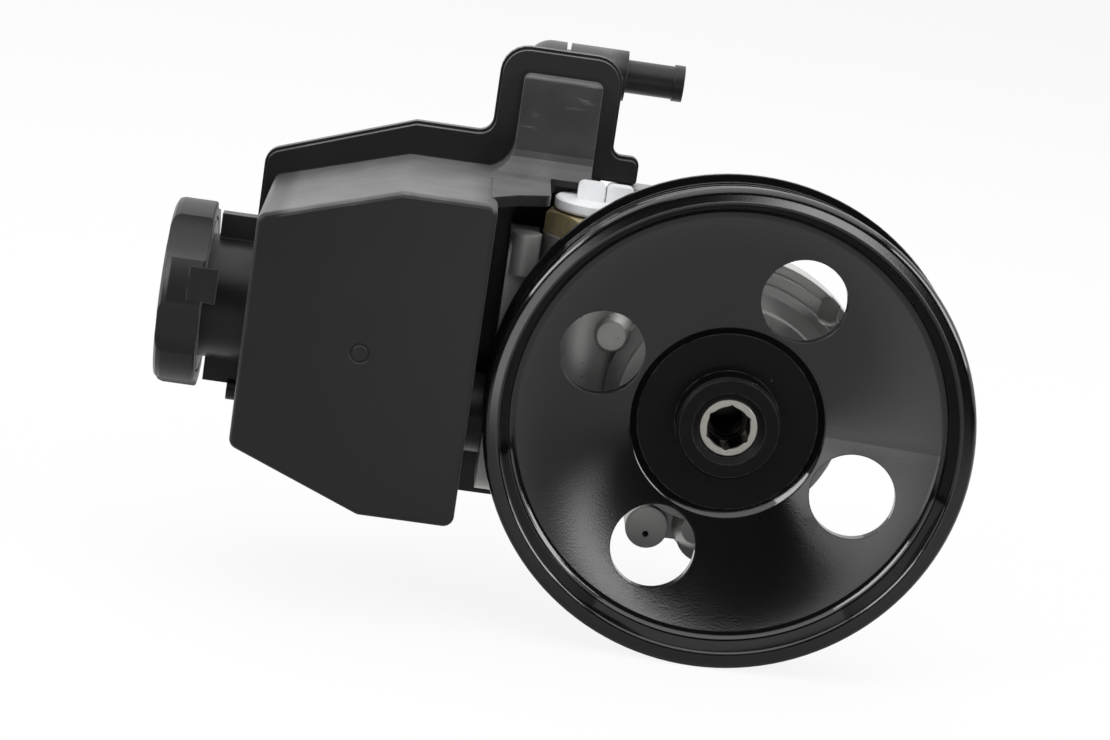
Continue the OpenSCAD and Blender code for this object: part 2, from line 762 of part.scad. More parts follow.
module rear_plate() {
    color([0.55, 0.53, 0.5]) difference() {
        rod_y(plate_r, rear_plate_y, rear_plate_end_y);
        rod_y(snap_r + free_gap, rear_plate_y - 1, shaft_end_y + free_gap);
        dowel_holes(rear_plate_y, rear_plate_end_y);
        port_holes(rear_plate_y, rear_plate_y + 2);
    }
}

module dowel_pins() {
    color([0.66, 0.66, 0.68])
        for (side = [0, 180])
            rotate([0, side, 0])
                rod_y(dowel_r, chamber_floor - dowel_seat, rear_plate_end_y, dowel_pitch_r);
}

// Conical washer that presses the plates together
module plate_spring() {
    r0 = washer_in_r;
    r1 = washer_out_r;
    t = washer_t;
    color([0.35, 0.35, 0.37]) turned() polygon([[r0, cover_y - t], [r0, cover_y], [r0 + t, cover_y],
        [r1, rear_plate_end_y + t], [r1, rear_plate_end_y], [r1 - t, rear_plate_end_y]]);
}

module rear_cover() {
    seat_y = cover_y + cover_groove_drop;
    profile = [[0, cover_y], [plate_r, cover_y], [plate_r, seat_y], [plate_r - groove_depth, seat_y],
        [plate_r - groove_depth, seat_y + groove_w], [plate_r, seat_y + groove_w],
        [plate_r, cover_end_y - 0.8],
        [plate_r - 0.8, cover_end_y], [dish_r, cover_end_y], [dish_r - 1.5, cover_end_y - dish_depth],
        [dish_hub_r + 1, cover_end_y - dish_depth], [dish_hub_r, cover_end_y - 0.5],
        [0, cover_end_y - 0.5]];
    color([0.58, 0.58, 0.57]) turned() polygon(profile);
}

module cover_o_ring() {
    ring_y = cover_y + cover_groove_drop + groove_w / 2;
    color([0.06, 0.06, 0.06]) wire_ring(plate_r - o_ring_r, o_ring_r, ring_y);
}

module cover_ring() {
    color([0.45, 0.45, 0.46]) difference() {
        wire_ring(chamber_r + 0.1, wire_r, wire_y);
        block([-3, wire_y - 3, -far], [3, wire_y + 3, 0]);
    }
}

// Flow control valve

module valve_spool() {
    waist_r = spool_r - 2.4;
    z0 = spool_bottom_z;
    z1 = spool_top_z;
    profile = [[0, z0 + spring_seat], [spring_r + spring_wire_r + 0.3, z0 + spring_seat],
        [spring_r + spring_wire_r + 0.3, z0], [spool_r, z0], [spool_r, z0 + 7], [waist_r, z0 + 8],
        [waist_r, z1 - 5], [spool_r, z1 - 4], [spool_r, z1 - 1], [spool_r - 1, z1], [0, z1]];
    color([0.7, 0.7, 0.71]) translate([-valve_x, valve_y, 0]) rotate_extrude() polygon(profile);
}

// Coil spring between the plug and the seat inside the spool, as a swept round wire
module valve_spring() {
    z0 = valve_plug_top_z + spring_wire_r;
    z1 = spool_bottom_z + spring_seat - spring_wire_r;
    steps = 16 * spring_turns;
    sides = 8;
    points = [for (i = [0:steps], k = [0:sides - 1])
        let (a = 360 * spring_turns * i / steps, b = 360 * k / sides, r = spring_r + spring_wire_r * cos(b))
        [r * cos(a), r * sin(a), z0 + (z1 - z0) * i / steps + spring_wire_r * sin(b)]];
    walls = [for (i = [0:steps - 1], k = [0:sides - 1])
        let (n = (k + 1) % sides)
        [i * sides + k, (i + 1) * sides + k, (i + 1) * sides + n, i * sides + n]];
    ends = [[for (k = [0:sides - 1]) k], [for (k = [sides - 1:-1:0]) steps * sides + k]];
    color([0.5, 0.5, 0.52]) translate([-valve_x, valve_y, 0]) polyhedron(points, concat(walls, ends));
}

module valve_plug() {
    top = valve_plug_top_z;
    bottom = valve_bottom_z - 3;
    groove_z = top - valve_groove_drop;
    profile = [[0, bottom], [valve_plug_r + 1.6, bottom], [valve_plug_r + 2.4, bottom + 0.8],
        [valve_plug_r + 2.4, valve_bottom_z], [valve_plug_r, valve_bottom_z],
        [valve_plug_r, groove_z - groove_w], [valve_plug_r - groove_depth, groove_z - groove_w],
        [valve_plug_r - groove_depth, groove_z], [valve_plug_r, groove_z], [valve_plug_r, top], [0, top]];
    color([0.7, 0.6, 0.35]) translate([-valve_x, valve_y, 0]) difference() {
        rotate_extrude() polygon(profile);
        translate([0, 0, bottom - eps]) cylinder(r = 5, h = 5, $fn = 6);
    }
}

module upright_o_ring(r, z) {
    color([0.06, 0.06, 0.06]) translate([-valve_x, valve_y, z])
        rotate_extrude() translate([r, 0]) circle(r = o_ring_r, $fn = 24);
}

module valve_plug_o_ring() {
    upright_o_ring(valve_plug_r - o_ring_r, valve_plug_top_z - valve_groove_drop - groove_w / 2);
}

module port_fitting() {
    hex_r = hex_af / 2 / cos(30);
    groove_z = port_z - shank_groove_drop;
    core_r = shank_d / 2 - groove_depth;
    color([0.55, 0.5, 0.3]) translate([-valve_x, valve_y, 0]) difference() {
        union() {
            intersection() {
                translate([0, 0, port_z]) rotate(12) cylinder(r = hex_r, h = hex_h, $fn = 6);
                translate([0, 0, port_z]) rotate_extrude() polygon([[0, -1], [hex_r + 1.7, -1],
                    [hex_r + 1.7, hex_h - 2], [hex_r - 1.7, hex_h], [0, hex_h]]);
            }
            rotate_extrude() polygon([[0, port_z - shank_len], [shank_d / 2, port_z - shank_len],
                [shank_d / 2, groove_z - groove_w], [core_r, groove_z - groove_w], [core_r, groove_z],
                [shank_d / 2, groove_z], [shank_d / 2, port_z], [0, port_z]]);
        }
        translate([0, 0, hex_top_z - port_bore_len]) cylinder(r = port_bore_r, h = port_bore_len + 1);
        translate([0, 0, port_z - shank_len - 1]) cylinder(r = orifice_r, h = shank_len);
    }
}

module fitting_o_ring() {
    upright_o_ring(shank_d / 2 - o_ring_r, port_z - shank_groove_drop - groove_w / 2);
}

// Push-in transport plug with two rounded ears
module port_plug() {
    stem_z = hex_top_z - plug_stem_len;
    flange_z = plug_top_z - plug_flange_t;
    color([0.9, 0.9, 0.91]) translate([-valve_x, valve_y, 0]) {
        rotate_extrude() polygon([[0, stem_z], [plug_stem_r - 1, stem_z], [plug_stem_r, stem_z + 1],
            [plug_stem_r, flange_z], [plug_d / 2 - 0.6, flange_z], [plug_d / 2, flange_z + 0.6],
            [plug_d / 2, plug_top_z - 0.6], [plug_d / 2 - 0.6, plug_top_z], [0, plug_top_z]]);
        for (x = [ear_x - ear_w - 0.2, ear_x + 0.2])
            translate([x, 0, plug_top_z]) prism_y(-ear_t / 2, ear_t / 2)
                polygon(rounded([[0, -1, 0], [ear_w, -1, 0], [ear_w, ear_h, 1.8], [0, ear_h, 1.8]]));
    }
}

// Tank

// Front box of the tank, anticlockwise from its lower left corner
tank_corners = [[tank_left, tank_bottom + bottom_slope, 3], [slope_x, tank_bottom, 4],
    [tank_right, tank_bottom, 3], [tank_right, tank_top, 3], [slope_x + 0.6, tank_top, 4],
    [tank_left, tank_top - top_slope, 3]];

// Weld flange, anticlockwise from its lower left corner
flange_corners = [[flange_left, flange_bottom + bottom_slope + 1, 5], [slope_x - 1, flange_bottom, 4],
    [flange_right, flange_bottom, 5], [flange_right, foot_bottom, 3], [foot_right, foot_bottom, 1.2],
    [foot_right, foot_top, 2.5], [tower_right, foot_top, 2.6], [tower_right, tower_top, 8],
    [tower_left, tower_top, 8], [tower_left, flange_top, 4], [slope_x + 1, flange_top, 4],
    [flange_left, tank_top - top_slope + 6.6, 5]];

// Box of the rear shell, inside the weld flange
rear_corners = [[tank_left + 3, tank_bottom + bottom_slope, 5], [slope_x, tank_bottom, 5],
    [flange_right - 14, tank_bottom, 6], [flange_right - 14, tank_top - 3, 6], [slope_x, tank_top, 5],
    [tank_left + 3, tank_top - top_slope, 5]];

module tank_front_shell() {
    color([0.07, 0.07, 0.075]) difference() {
        union() {
            soft_box(tank_corners, seam_y, tank_front_y, tank_edge_r);
            prism_y(flange_y, seam_y) polygon(rounded(inset(flange_corners, seam_step)));
            shelf();
            tower_panel();
            neck();
            spigot();
        }
        tank_cavity();
        // Recess round the transport plug and its ears
        rod_z(plug_d / 2 + air_gap, 0, plug_top_z + air_gap, -valve_x, valve_y);
        block([recess_x, lip_y, tank_top - 2 * shelf_t], [0, valve_y + ear_t / 2 + air_gap, tower_top]);
        // Mould mark in the front face
        translate([tank_left + 32.6, tank_front_y, 9.2]) rotate([-90, 0, 0]) difference() {
            translate([0, 0, -1]) cylinder(r = 2.9, h = 1.5);
            translate([0, 0, -1.5]) cylinder(r = 2.1, h = 2.5);
        }
    }
}

// Ledge that runs back from the box's top edge to the flange, clear of the pulley and the port
module shelf() {
    plan = [[tank_right - 2, lip_y + 5, 0], [tank_right, lip_y + 8, 4], [tank_right + 5.6, lip_y + 15, 4],
        [recess_x, lip_y + 21.5, 4], [recess_x, flange_y - 3, 3], [flange_right + 2, flange_y - 3, 1],
        [flange_right + 2, seam_y, 0], [tank_right - 2, seam_y, 0]];
    translate([0, 0, tank_top - shelf_t]) linear_extrude(shelf_t) polygon(rounded(plan));
}

// Raised panel of the tower, which leans back and runs into the ledge in a round sweep
module tower_panel() {
    side = [[flange_y - 22, tank_top - shelf_t, 0], [seam_y, tank_top - shelf_t, 0], [seam_y, panel_top, 0],
        [flange_y - panel_rise_top, panel_top, 1.6], [flange_y - panel_rise_foot, tank_top, 9],
        [flange_y - 22, tank_top, 0]];
    sweep_left = panel_left - cove_r - 4;
    front = [[sweep_left, tank_top - shelf_t, 0], [panel_right, tank_top - shelf_t, 0],
        [panel_right, panel_top, 2], [panel_left, panel_top, 2], [panel_left, tank_top - 0.5, cove_r],
        [sweep_left, tank_top - 0.5, 0]];
    intersection() {
        prism_x(sweep_left, panel_right) polygon(rounded(side));
        prism_y(flange_y - 30, seam_y) polygon(rounded(front));
    }
}

module neck() {
    translate([0, neck_y, neck_z]) rotate([0, -90, 0]) rotate_extrude() polygon([
        [neck_bore_d / 2, -tank_left - 1], [neck_d / 2, -tank_left - 1], [neck_d / 2, -cap_rim_x],
        [neck_end_r - 0.6, -cap_rim_x], [neck_end_r, -cap_rim_x + 0.6], [neck_end_r, -neck_end_x],
        [neck_bore_d / 2, -neck_end_x]]);
    // Ribs above and below the tube
    block([collar_x, neck_y - neck_rib_t / 2, neck_z - neck_rib_h / 2],
        [tank_left + 1, neck_y + neck_rib_t / 2, neck_z + neck_rib_h / 2]);
    // Stop for the cap's tab
    rod_x(3, tank_left - 4, tank_left + 1, neck_y - 2, neck_z - neck_rib_h / 2 - 1.8);
}

module spigot() {
    groove_x = pad_left + spigot_groove_drop;
    end_x = pad_left + spigot_reach;
    translate([0, valve_y, spigot_z]) rotate([0, 90, 0]) rotate_extrude() polygon([
        [0, tank_right - 1], [spigot_r + 2.5, tank_right - 1], [spigot_r + 2.5, pad_left],
        [spigot_r, pad_left], [spigot_r, groove_x], [spigot_r - groove_depth, groove_x],
        [spigot_r - groove_depth, groove_x + groove_w], [spigot_r, groove_x + groove_w],
        [spigot_r, end_x - 1], [spigot_r - 1, end_x], [0, end_x]]);
}

// Inside of the front shell: the box, the neck, the way to the tower and the outlet
module tank_cavity() {
    prism_y(tank_front_y + tank_wall, seam_y + 1) polygon(rounded(inset(tank_corners, tank_wall)));
    tower_inside = inset([[panel_left, tank_top + 3, 1], [panel_right, tank_top + 3, 1],
        [panel_right, panel_top, 3], [panel_left, panel_top, 3]], tank_wall);
    prism_y(flange_y - 1, seam_y + 1) polygon(rounded(tower_inside));
    rod_x(neck_bore_d / 2, neck_end_x - 1, tank_left + tank_wall + 1, neck_y, neck_z);
    rod_x(spigot_r - 4, tank_right - tank_wall - 1, pad_left + spigot_reach + 1, valve_y, spigot_z);
    screw_holes();
}

module screw_holes() {
    for (z = screw_zs)
        rod_y(screw_r + free_gap, flange_y - 1, rear_flange_y + 1, screw_x, z);
}

module tank_rear_shell() {
    tower_box = [[panel_left - 1, tank_top - 12, 4], [panel_right + 1, tank_top - 12, 4],
        [panel_right + 1, panel_top, 4], [panel_left - 1, panel_top, 4]];
    tower_back_y = stub_y + stub_d / 2 - 1;
    color([0.07, 0.07, 0.075]) difference() {
        union() {
            prism_y(seam_y, rear_flange_y) polygon(rounded(flange_corners));
            soft_box(rear_corners, seam_y, tank_back_y, tank_edge_r * 1.5);
            soft_box(tower_box, seam_y, tower_back_y, tank_edge_r);
            return_pipe();
        }
        prism_y(seam_y - 1, tank_back_y - tank_wall) polygon(rounded(inset(rear_corners, tank_wall)));
        prism_y(seam_y - 1, tower_back_y - tank_wall) polygon(rounded(inset(tower_box, tank_wall)));
        rod_x(nipple_bore_r, panel_right - 2, nipple_end_x + 1, stub_y, stub_z);
        // Slot across the stub, beside its domed end
        block([slot_x, rear_flange_y, tower_top - 1],
            [slot_x + slot_w, stub_y + stub_d, tower_top + stub_d]);
        screw_holes();
    }
}

module return_pipe() {
    rod_x(stub_d / 2, stub_start_x, stub_end_x, stub_y, stub_z);
    translate([stub_start_x, stub_y, stub_z]) sphere(r = stub_d / 2);
    rod_x(nipple_r, stub_end_x - 1, nipple_end_x, stub_y, stub_z);
    rod_x(bead_r, nipple_end_x - bead_w, nipple_end_x, stub_y, stub_z);
}

module spigot_o_ring() {
    ring_x = pad_left + spigot_groove_drop + groove_w / 2;
    color([0.06, 0.06, 0.06]) translate([ring_x, valve_y, spigot_z]) rotate([0, 90, 0])
        rotate_extrude() translate([spigot_r - o_ring_r, 0]) circle(r = o_ring_r, $fn = 24);
}

module tank_screws() {
    color([0.55, 0.55, 0.56])
        for (z = screw_zs) {
            difference() {
                rod_y(screw_head_r, rear_flange_y, rear_flange_y + screw_head_h, screw_x, z);
                translate([screw_x, rear_flange_y + 1.6, z]) rotate([-90, 0, 0])
                    cylinder(r = 2.6, h = screw_head_h, $fn = 6);
            }
            rod_y(screw_r, flange_y - screw_len, rear_flange_y + eps, screw_x, z);
        }
}

// Filler cap

module filler_cap() {
    flute_r = 18;
    first_flute = 12;
    color([0.07, 0.07, 0.075]) difference() {
        union() {
            translate([0, neck_y, neck_z]) rotate([0, -90, 0]) rotate_extrude() polygon([
                [0, -cap_under_x], [cap_bore_r, -cap_under_x], [cap_bore_r, -cap_rim_x],
                [cap_r - 0.5, -cap_rim_x],
                [cap_r, -cap_rim_x + 0.5], [cap_r, -cap_face_x - 2.2], [cap_r - 0.6, -cap_face_x - 0.8],
                [cap_r - 2.2, -cap_face_x], [0, -cap_face_x]]);
            cap_tab();
        }
        for (i = [0:flute_count - 1]) {
            p = polar(cap_r + flute_r - flute_depth, first_flute + 360 / flute_count * i);
            rod_x(flute_r, cap_face_x - 1, cap_rim_x + 1, neck_y + p.x, neck_z + p.y);
        }
    }
}

// Locking tab on the skirt, on the side that faces the pulley's front
module cap_tab() {
    tab_reach = 4;
    tab_h = 9.6;
    tab_turn = -17;
    translate([0, neck_y, neck_z]) rotate([tab_turn, 0, 0])
        block([cap_rim_x - 4, -cap_r, -tab_h / 2], [cap_rim_x + tab_reach, -cap_r + 1.4, tab_h / 2]);
}

module cap_seal() {
    r0 = neck_bore_d / 2 - 0.5;
    color([0.1, 0.1, 0.1]) translate([0, neck_y, neck_z]) rotate([0, 90, 0]) rotate_extrude()
        translate([r0, cap_under_x]) square([neck_end_r - r0, seal_t]);
}

module dipstick() {
    end_x = cap_under_x + stick_len;
    flat_z = neck_z + stick_d / 4;
    color([0.08, 0.08, 0.085]) difference() {
        union() {
            rod_x(stick_d * 1.4, cap_under_x, cap_under_x + 2, neck_y, neck_z);
            rod_x(stick_d / 2, cap_under_x, end_x, neck_y, neck_z);
        }
        block([end_x - stick_flat, neck_y - stick_d, flat_z],
            [end_x + 1, neck_y + stick_d, neck_z + stick_d]);
        for (mark = stick_marks)
            rod_x(0.9, end_x - mark, end_x - mark + 2, neck_y, flat_z);
    }
}

pulley();
pulley_hub();
drive_shaft();
pump_housing();
bearing_outer_race();
bearing_inner_race();
bearing_balls();
bearing_cage();
bearing_snap_ring();
shaft_seal();
shaft_bush();
front_plate();
cam_ring();
rotor();
vanes();
rotor_snap_ring();
rear_plate();
dowel_pins();
plate_spring();
rear_cover();
cover_o_ring();
cover_ring();
valve_spool();
valve_spring();
valve_plug();
valve_plug_o_ring();
port_fitting();
fitting_o_ring();
port_plug();
tank_front_shell();
tank_rear_shell();
filler_cap();
cap_seal();
dipstick();
spigot_o_ring();
tank_screws();
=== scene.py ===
import json
import math

import bpy
from mathutils import Matrix, Vector


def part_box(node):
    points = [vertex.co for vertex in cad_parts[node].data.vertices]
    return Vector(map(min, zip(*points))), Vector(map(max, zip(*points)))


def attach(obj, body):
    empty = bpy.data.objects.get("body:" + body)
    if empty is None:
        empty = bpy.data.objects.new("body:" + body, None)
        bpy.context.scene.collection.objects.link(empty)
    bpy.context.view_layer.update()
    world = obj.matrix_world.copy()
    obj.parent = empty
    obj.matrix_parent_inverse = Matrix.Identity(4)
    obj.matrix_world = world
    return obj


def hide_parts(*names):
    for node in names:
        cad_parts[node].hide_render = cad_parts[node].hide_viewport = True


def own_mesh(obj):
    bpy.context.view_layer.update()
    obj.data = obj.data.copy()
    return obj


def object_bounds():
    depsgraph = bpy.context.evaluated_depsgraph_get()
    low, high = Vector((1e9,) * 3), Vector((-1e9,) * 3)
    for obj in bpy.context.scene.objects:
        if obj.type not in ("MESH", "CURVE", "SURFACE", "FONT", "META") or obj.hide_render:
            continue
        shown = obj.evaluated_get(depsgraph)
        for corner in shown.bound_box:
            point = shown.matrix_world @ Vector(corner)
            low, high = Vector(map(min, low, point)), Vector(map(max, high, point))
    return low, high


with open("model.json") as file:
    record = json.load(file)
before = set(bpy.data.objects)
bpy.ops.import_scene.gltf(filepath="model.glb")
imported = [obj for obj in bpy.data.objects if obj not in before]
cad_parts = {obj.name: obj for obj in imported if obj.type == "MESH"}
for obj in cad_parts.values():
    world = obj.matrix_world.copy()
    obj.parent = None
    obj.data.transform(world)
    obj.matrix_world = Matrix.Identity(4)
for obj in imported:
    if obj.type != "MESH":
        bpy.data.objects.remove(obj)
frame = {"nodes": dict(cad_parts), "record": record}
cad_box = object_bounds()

bl_info = {
    "name": "Power steering pump looks",
    "version": (1, 0, 0),
    "blender": (4, 5, 0),
    "location": "View3D > Sidebar > Pump",
    "description": "Finishes and small details for a belt-driven steering pump with its fluid tank",
    "category": "Object",
}

MM = 0.001
WHITE = (1, 1, 1, 1)

# Finish of every CAD node
NODE_FINISH = {
    "black_enamel": ["pulley"],
    "blackened_steel": ["pulley_hub"],
    "turned_steel": ["drive_shaft"],
    "cast_alloy": ["pump_housing", "rear_cover"],
    "ground_steel": ["bearing_outer_race", "bearing_inner_race", "bearing_balls", "vanes",
                     "dowel_pins", "valve_spool"],
    "cage_brass": ["bearing_cage"],
    "spring_steel": ["bearing_snap_ring", "rotor_snap_ring", "plate_spring", "cover_ring",
                     "valve_spring"],
    "seal_rubber": ["shaft_seal", "cover_o_ring", "valve_plug_o_ring", "fitting_o_ring", "cap_seal",
                    "spigot_o_ring"],
    "bush_bronze": ["shaft_bush"],
    "sintered_steel": ["front_plate", "cam_ring", "rotor", "rear_plate"],
    "yellow_zinc": ["valve_plug", "port_fitting"],
    "white_nylon": ["port_plug"],
    "tank_plastic": ["tank_front_shell", "tank_rear_shell"],
    "cap_plastic": ["filler_cap", "dipstick"],
    "bright_zinc": ["tank_screws"],
}

# Colour, roughness and width of grain of the machined metals
PLAIN_METALS = {
    "ground_steel": ((0.62, 0.62, 0.64), 0.16, 0.3 * MM),
    "cage_brass": ((0.62, 0.48, 0.24), 0.3, 0.6 * MM),
    "spring_steel": ((0.22, 0.22, 0.23), 0.32, 0.4 * MM),
    "bush_bronze": ((0.46, 0.31, 0.15), 0.42, 0.5 * MM),
    "sintered_steel": ((0.34, 0.34, 0.35), 0.38, 0.7 * MM),
    "bright_zinc": ((0.6, 0.61, 0.62), 0.3, 0.5 * MM),
}

# Colours of wear, rubber, dirt and of a painted sheen
RUBBED_PAINT = (0.16, 0.155, 0.15, 1)
WORN_HUB = (0.2, 0.19, 0.18, 1)
DULL_ZINC = (0.3, 0.29, 0.25, 1)
DARK_RUBBER = (0.012, 0.012, 0.012, 1)
BLOOMED_RUBBER = (0.03, 0.03, 0.029, 1)
# Painted sheen: the pale grey haze that the black top of the tank is painted with
PAINTED_TANK_SHEEN = (0.3, 0.296, 0.304, 1)
TANK_SCUFF = (0.32, 0.315, 0.325, 1)

# Chipped ring on the hub: its soft inner and outer edges, and the height from which chips show
CHIPS_INNER = (12 * MM, 13 * MM)
CHIPS_OUTER = (19 * MM, 17 * MM)
CHIPS_ABOVE = (4 * MM, 12 * MM)
# Depth over which painted light brightens the casting from its back to its nose
NOSE_PAINTED_LIGHT = (12 * MM, -8 * MM)
# Soft ends, left and right, of the stretch on the tank's top that has scuffs and a painted sheen
SCUFF_SHEEN_LEFT = (-133 * MM, -128 * MM)
SCUFF_SHEEN_RIGHT = (-40 * MM, -46 * MM)
# Width over which painted shade darkens the shaft's end inside the socket's rim
SOCKET_SHADE_FADE = 0.3 * MM
# Agreement of the true normal with the rounded one at which wear begins, and at which it is full
EDGE_WEAR = (0.995, 0.80)

# Distance within which the points of a copied mesh are merged
MERGE_GAP = 0.002 * MM
# Angle past which an edge stays sharp
SHARP_ANGLE = math.radians(40)
# How far a thread's foot sinks into its wall, its crest as a share of its foot, and points per turn
THREAD_SINK = 0.05 * MM
THREAD_CREST = 0.35
THREAD_STEPS = 40
# Filler neck's thread: its start behind the gasket, turns, width and height
NECK_THREAD_START = 0.9 * MM
NECK_THREAD_TURNS = 1.15
NECK_THREAD_WIDTH = 1.6 * MM
NECK_THREAD_HEIGHT = 0.4 * MM
# Puller thread in the shaft: its pitch, width, height, and the turns left out at its ends
PULLER_PITCH = 1.5 * MM
PULLER_WIDTH = 0.8 * PULLER_PITCH
PULLER_HEIGHT = 0.7 * MM
PULLER_FREE_TURNS = 2

# Floor, and where reflections show it dim and then dark towards the front
FLOOR_SIZE = 12
FLOOR_DIMS = (0.05, -0.06)
FLOOR_DARKENS = (-0.28, -0.48)
# Bright strips on the floor that the pulley's web mirrors
GLARES = (
    {"centre": (0.104, -0.78), "size": (0.07, 0.66), "turn": 0.145, "blur": (0.02, 0.07), "level": 3.5},
    {"centre": (-0.058, -0.63), "size": (0.10, 0.60), "turn": -0.124, "blur": (0.02, 0.06), "level": 1.5},
)
# Directions in which reflections show the room dark: behind the camera, and in part overhead
ROOM_DARK_BEHIND = (-0.15, -0.7)
ROOM_DARK_OVERHEAD = (0.55, 0.85)
ROOM_OVERHEAD_SHARE = 0.7
# Soft boxes, in metres and watts
SOFT_BOXES = {
    "top_box": {"place": (-0.05, 0.0, 1.0), "target": (-0.03, 0, 0), "size": (2.2, 1.8), "power": 13.0},
    "left_box": {"place": (-1.0, -0.75, 0.55), "target": (-0.05, 0, 0), "size": (0.6, 0.6), "power": 6.0},
    "right_box": {"place": (0.95, -0.8, 0.45), "target": (0, 0, 0), "size": (0.6, 0.6), "power": 6.0},
}
# Camera a little above the shaft and to its left: its place, its view and its upright
CAMERA_PLACE = (-0.0902, -0.9431, 0.2101)
CAMERA_AHEAD = (0.0428, 0.9753, -0.2166)
CAMERA_UP = (-0.1383, 0.2205, 0.9655)
CAMERA_SENSOR = 36.0
CAMERA_NEAR = 10 * MM


class Sock:
    """A shader socket whose arithmetic adds Math nodes to its finish."""

    def __init__(self, finish, socket):
        self.finish = finish
        self.socket = socket

    def math(self, operation, first, second):
        """Adds a Math node for two values or sockets."""
        return self.finish.add("ShaderNodeMath", {"operation": operation}, {0: first, 1: second})

    def __add__(self, other):
        return self.math("ADD", self, other)

    def __sub__(self, other):
        return self.math("SUBTRACT", self, other)

    def __rsub__(self, other):
        return self.math("SUBTRACT", other, self)

    def __mul__(self, other):
        return self.math("MULTIPLY", self, other)

    def __pow__(self, other):
        return self.math("POWER", self, other)

    __radd__ = __add__
    __rmul__ = __mul__


class Finish:
    """The node tree of one material or of the world."""

    def __init__(self, owner):
        self.owner = owner
        owner.use_nodes = True
        self.tree = owner.node_tree
        self.tree.nodes.clear()

    def add(self, kind, settings=None, inputs=None, out=0):
        """Adds a node, sets it up, feeds its sockets and returns one of its outputs."""
        node = self.tree.nodes.new(kind)
        for key, value in (settings or {}).items():
            setattr(node, key, value)
        for key, value in (inputs or {}).items():
            if isinstance(value, Sock):
                self.tree.links.new(value.socket, node.inputs[key])
            else:
                node.inputs[key].default_value = value
        return Sock(self, node.outputs[out]) if node.outputs else None

    def place(self):
        """Place on the piece, in metres."""
        return self.add("ShaderNodeTexCoord", out="Object")

    def along(self, axis):
        """One coordinate of the place."""
        return self.add("ShaderNodeSeparateXYZ", inputs={0: self.place()}, out=axis)

    def from_shaft(self):
        """Distance from the shaft's axis, in metres."""
        x = self.along("X")
        z = self.along("Z")
        return (x * x + z * z) ** 0.5

    def noise(self, size, detail=2.0, stretch=(1, 1, 1)):
        """Noise from 0 to 1 whose patches are about size metres wide."""
        scale = [factor / size for factor in stretch]
        spread = self.add("ShaderNodeMapping", inputs={"Vector": self.place(), "Scale": scale})
        return self.add("ShaderNodeTexNoise", inputs={"Vector": spread, "Scale": 1.0, "Detail": detail})

    def rings(self, radius, width, detail):
        """Turning marks: noise from 0 to 1 in rings about width metres wide."""
        return self.add("ShaderNodeTexNoise", {"noise_dimensions": "1D"}, {
            "W": radius, "Scale": 1.0 / width, "Detail": detail})

    def step(self, value, low, high):
        """Runs smoothly from 0 at low to 1 at high."""
        return self.add("ShaderNodeMapRange", {"interpolation_type": "SMOOTHSTEP"}, {
            "Value": value, "From Min": low, "From Max": high, "To Min": 0.0, "To Max": 1.0})

    def patches(self, size, low, high, detail=4.0, stretch=(1, 1, 1)):
        """Patches about size metres wide: 0 where the noise is under low, 1 where it is over high."""
        return self.step(self.noise(size, detail, stretch), low, high)

    def mix(self, share, first, second):
        """Colour between two colours."""
        return self.add("ShaderNodeMix", {"data_type": "RGBA"}, {0: share, 6: first, 7: second}, out=2)

    def tones(self, share, colour, low, high):
        """Shades of one colour: low times it where share is 0, high times it where share is 1."""
        return self.mix(share, shade(colour, low), shade(colour, high))

    def soft_edge(self, radius):
        """Normal of edges that are rounded by radius."""
        return self.add("ShaderNodeBevel", {"samples": 4}, {"Radius": radius})

    def edge_mask(self, radius):
        """1 along edges that wear shows on, 0 on open faces."""
        plain = self.add("ShaderNodeNewGeometry", out="Normal")
        dot = self.add("ShaderNodeVectorMath", {"operation": "DOT_PRODUCT"}, {
            0: self.soft_edge(radius), 1: plain}, out="Value")
        return self.step(dot, *EDGE_WEAR)

    def bump(self, height, depth, strength=1.0, normal=None):
        """Normal of a relief that is depth metres deep, on top of another normal if one is given."""
        inputs = {"Height": height, "Distance": depth, "Strength": strength}
        if normal is not None:
            inputs["Normal"] = normal
        return self.add("ShaderNodeBump", inputs=inputs)

    def surface(self, colour, roughness, normal, metallic=0.0, **fixed):
        """Closes the material and returns it."""
        shader = self.add("ShaderNodeBsdfPrincipled", inputs={
            "Base Color": colour, "Roughness": roughness, "Normal": normal, "Metallic": metallic, **fixed})
        self.add("ShaderNodeOutputMaterial", inputs={"Surface": shader})
        return self.owner


def rgb(colour):
    """Colour with its fourth part."""
    return (*colour[:3], 1.0)


def shade(colour, factor):
    """Colour made darker or lighter."""
    return (*[part * factor for part in colour[:3]], 1.0)


# Finishes

def black_enamel(f, looks):
    """Satin black paint with orange peel, rubbed thin along the rims."""
    peel = f.noise(0.55 * MM, detail=1.0)
    fine = f.noise(0.25 * MM, detail=1.0)
    cloud = f.noise(30 * MM, detail=3.0)
    rub = f.edge_mask(0.5 * MM) * f.patches(3 * MM, 0.45, 0.7)
    base = f.tones(cloud, looks.enamel_colour, 0.75, 1.3)
    colour = f.mix(rub * 0.6, base, RUBBED_PAINT)
    normal = f.bump(peel + fine * 0.3, 0.006 * MM, looks.peel, f.soft_edge(0.4 * MM))
    return f.surface(colour, 0.055 + cloud * 0.03 + rub * 0.25, normal, **{"Specular IOR Level": 1.0})


